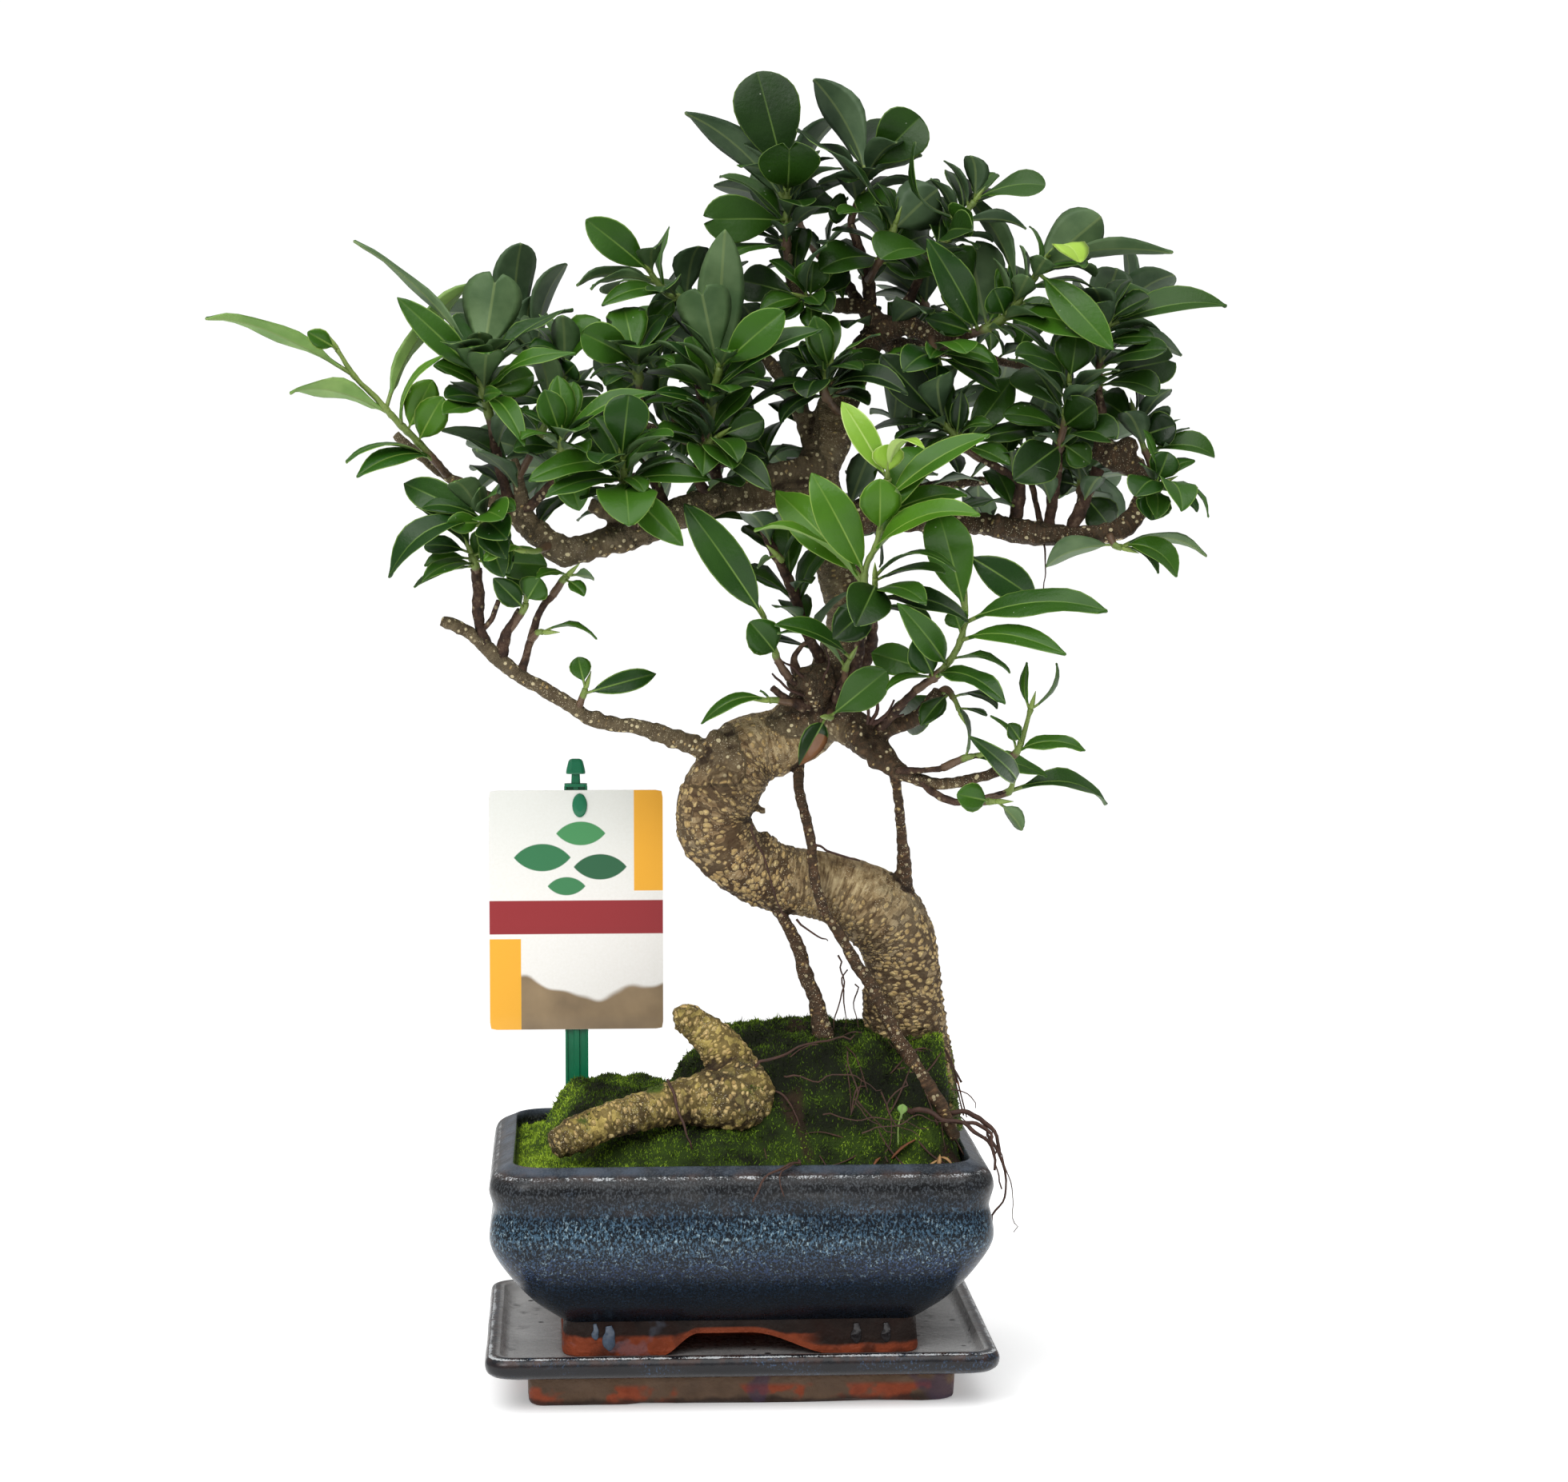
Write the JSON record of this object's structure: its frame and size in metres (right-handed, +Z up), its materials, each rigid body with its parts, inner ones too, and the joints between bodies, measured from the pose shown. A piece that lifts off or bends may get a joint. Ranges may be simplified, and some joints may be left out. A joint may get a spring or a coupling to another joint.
{
  "type": "chinese banyan bonsai",
  "caption": "Small banyan tree with an S-curved trunk, aerial roots and glossy leaves, in a glazed rectangular pot with moss, a blank label on a stake, and a saucer.",
  "frame": {"origin": "centre of the saucer's flat underside, on the surface that it stands on", "axes": "+Z up, +X to the right as the pot's long front side is seen, +Y away from the viewer"},
  "size_m": [0.4091, 0.1933, 0.5295],
  "materials": {
    "saucer_glaze": "satin",
    "pot_glaze": "satin",
    "moss_and_soil": "matte",
    "bark": "matte",
    "stake_plastic": "satin",
    "card_print": "satin",
    "leaf_deep": "satin",
    "leaf_mid": "satin",
    "leaf_bright": "satin"
  },
  "bodies": {
    "root": {"saucer": "saucer_glaze", "pot": "pot_glaze", "soil": "moss_and_soil", "trunk": "bark", "marker_stake": "stake_plastic", "marker_card": "card_print", "spray_arch_leaf": "leaf_mid", "spray_back_left_end": "leaf_deep", "spray_back_left_inner": "leaf_deep", "spray_back_left_low": "leaf_deep", "spray_back_left_mid": "leaf_deep", "spray_back_low": "leaf_deep", "spray_back_middle": "leaf_deep", "spray_back_right_end": "leaf_deep", "spray_back_right_inner": "leaf_deep", "spray_back_right_low": "leaf_deep", "spray_back_top": "leaf_deep", "spray_centre_left": "leaf_mid", "spray_centre_right": "leaf_deep", "spray_centre_top": "leaf_deep", "spray_crown_knob": "leaf_mid", "spray_crown_mid": "leaf_deep", "spray_crown_right": "leaf_mid", "spray_crown_upper": "leaf_deep", "spray_front_bright": "leaf_bright", "spray_front_dark": "leaf_deep", "spray_hang": "leaf_mid", "spray_inner": "leaf_mid", "spray_left_back_top": "leaf_mid", "spray_left_bright": "leaf_mid", "spray_left_front": "leaf_mid", "spray_left_inner": "leaf_mid", "spray_left_low_front": "leaf_mid", "spray_left_mid": "leaf_deep", "spray_left_mid_top": "leaf_mid", "spray_left_top": "leaf_mid", "spray_left_under": "leaf_bright", "spray_left_young": "leaf_bright", "spray_low_leaf": "leaf_mid", "spray_low_left_a": "leaf_mid", "spray_low_left_b": "leaf_mid", "spray_low_left_c": "leaf_mid", "spray_low_left_d": "leaf_mid", "spray_mid_low": "leaf_mid", "spray_mid_oval": "leaf_mid", "spray_mid_stub": "leaf_deep", "spray_mid_thin": "leaf_mid", "spray_mid_young": "leaf_mid", "spray_right_front": "leaf_mid", "spray_right_inner": "leaf_deep", "spray_right_low": "leaf_deep", "spray_right_mid": "leaf_deep", "spray_right_tip": "leaf_mid", "spray_right_top": "leaf_deep", "spray_right_under": "leaf_mid", "spray_top_centre": "leaf_deep", "spray_top_left": "leaf_deep", "spray_top_right": "leaf_deep", "spray_trunk_leaf": "leaf_mid", "spray_trunk_upper": "leaf_mid"}
  },
  "joints": []
}
